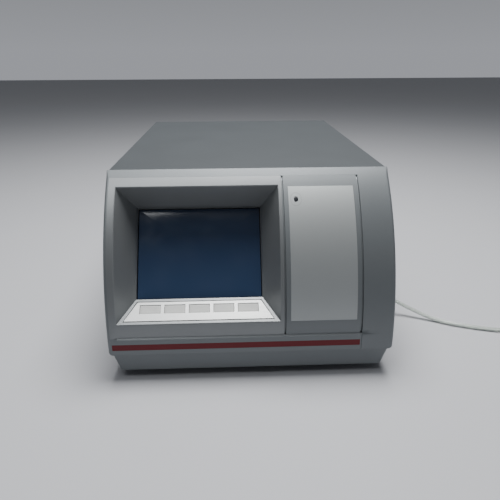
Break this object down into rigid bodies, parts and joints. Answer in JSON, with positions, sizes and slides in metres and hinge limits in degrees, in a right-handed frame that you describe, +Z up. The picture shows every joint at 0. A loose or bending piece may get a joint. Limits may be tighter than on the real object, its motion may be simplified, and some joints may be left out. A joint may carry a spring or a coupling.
{
  "type": "benchtop density meter",
  "caption": "Benchtop density meter with a convex front, sloped screen recess with soft keys, side ports with a waste hose, and a U-tube cell inside.",
  "frame": {"origin": "on the table under the middle of the cabinet, without the hose", "axes": "+X to the right seen from the front, +Y from the display towards the rear panel, +Z up"},
  "size_m": [0.5943, 0.495, 0.23],
  "materials": {
    "hood_grey": "satin powder coat",
    "bezel_grey": "fine metallic satin",
    "insert_grey": "fine satin",
    "label_silver": "satin",
    "plate_silver": "brushed",
    "key_grey": "satin",
    "lamp_dark": "gloss",
    "strip_red": "satin",
    "rubber_black": "matt",
    "steel": "zinc plated",
    "panel_steel": "satin powder coat",
    "screen_dark": "gloss",
    "lcd_grey": "matt",
    "board_green": "solder resist",
    "black_plastic": "moulded",
    "contact_brass": "plated",
    "sink_aluminium": "mill finish",
    "ceramic_white": "ceramic",
    "foam_dark": "closed-cell foam",
    "clear_glass": "clear",
    "tube_white": "fluoropolymer",
    "hose_clear": "clear flexible",
    "cartridge_amber": "clear amber"
  },
  "bodies": {
    "root": {"rubber_feet": "rubber_black", "foot_screws": "steel", "base_tray": "panel_steel", "hood": "hood_grey", "hood_screws": "steel", "rear_panel": "panel_steel", "rear_screws": "steel", "front_bezel": "bezel_grey", "chin_cover": "bezel_grey", "display_insert": "insert_grey", "right_panel": "bezel_grey", "label_plate": "label_silver", "status_lamp": "lamp_dark", "accent_strip": "strip_red", "key_plate": "plate_silver", "key_board": "board_green", "key_switches": "black_plastic", "touch_glass": "screen_dark", "lcd_module": "lcd_grey", "lcd_frame": "steel", "front_bulkhead": "steel", "display_board": "board_green", "main_board": "board_green", "board_pillars": "steel", "power_supply": "steel", "mains_inlet": "black_plastic", "inlet_pins": "contact_brass", "fan_frame": "black_plastic", "fan_guard": "steel", "serial_port": "steel", "data_ports": "steel", "heat_sink": "sink_aluminium", "peltier_modules": "ceramic_white", "cell_block": "sink_aluminium", "cell_cover": "foam_dark", "cell_head": "sink_aluminium", "glass_jacket": "clear_glass", "u_tube": "clear_glass", "temp_probe": "steel", "port_bracket": "steel", "inlet_adapter": "steel", "outlet_adapter": "steel", "adapter_nuts": "steel", "fill_tubes": "tube_white", "air_pump": "black_plastic", "drying_cartridge": "cartridge_amber", "hose_connector": "tube_white", "waste_hose": "hose_clear", "hose_coil": "hose_clear", "hose_tie": "black_plastic"},
    "key_1": {"key_1": "key_grey"},
    "key_2": {"key_2": "key_grey"},
    "key_3": {"key_3": "key_grey"},
    "key_4": {"key_4": "key_grey"},
    "key_5": {"key_5": "key_grey"},
    "power_rocker": {"power_rocker": "black_plastic"},
    "fan_rotor": {"fan_rotor": "black_plastic"},
    "fuse_drawer": {"fuse_drawer": "black_plastic"}
  },
  "joints": [
    {"name": "key_1_press", "type": "slide", "parent": "root", "child": "key_1", "axis": [0, 0.5299, -0.848], "range_m": [0, 0.0008], "stiffness_N_per_m": 600, "springref_m": -0.0005},
    {"name": "key_2_press", "type": "slide", "parent": "root", "child": "key_2", "axis": [0, 0.5299, -0.848], "range_m": [0, 0.0008], "stiffness_N_per_m": 600, "springref_m": -0.0005},
    {"name": "key_3_press", "type": "slide", "parent": "root", "child": "key_3", "axis": [0, 0.5299, -0.848], "range_m": [0, 0.0008], "stiffness_N_per_m": 600, "springref_m": -0.0005},
    {"name": "key_4_press", "type": "slide", "parent": "root", "child": "key_4", "axis": [0, 0.5299, -0.848], "range_m": [0, 0.0008], "stiffness_N_per_m": 600, "springref_m": -0.0005},
    {"name": "key_5_press", "type": "slide", "parent": "root", "child": "key_5", "axis": [0, 0.5299, -0.848], "range_m": [0, 0.0008], "stiffness_N_per_m": 600, "springref_m": -0.0005},
    {"name": "rocker_tilt", "type": "hinge", "parent": "root", "child": "power_rocker", "pos_m": [-0.11, 0.24, 0.081], "axis": [1, 0, 0], "range_deg": [-16, 0]},
    {"name": "fan_spin", "type": "hinge", "parent": "root", "child": "fan_rotor", "pos_m": [0.085, 0.2275, 0.15], "axis": [0, 1, 0], "continuous": true},
    {"name": "fuse_drawer_slide", "type": "slide", "parent": "root", "child": "fuse_drawer", "axis": [0, 1, 0], "range_m": [0, 0.02]}
  ]
}
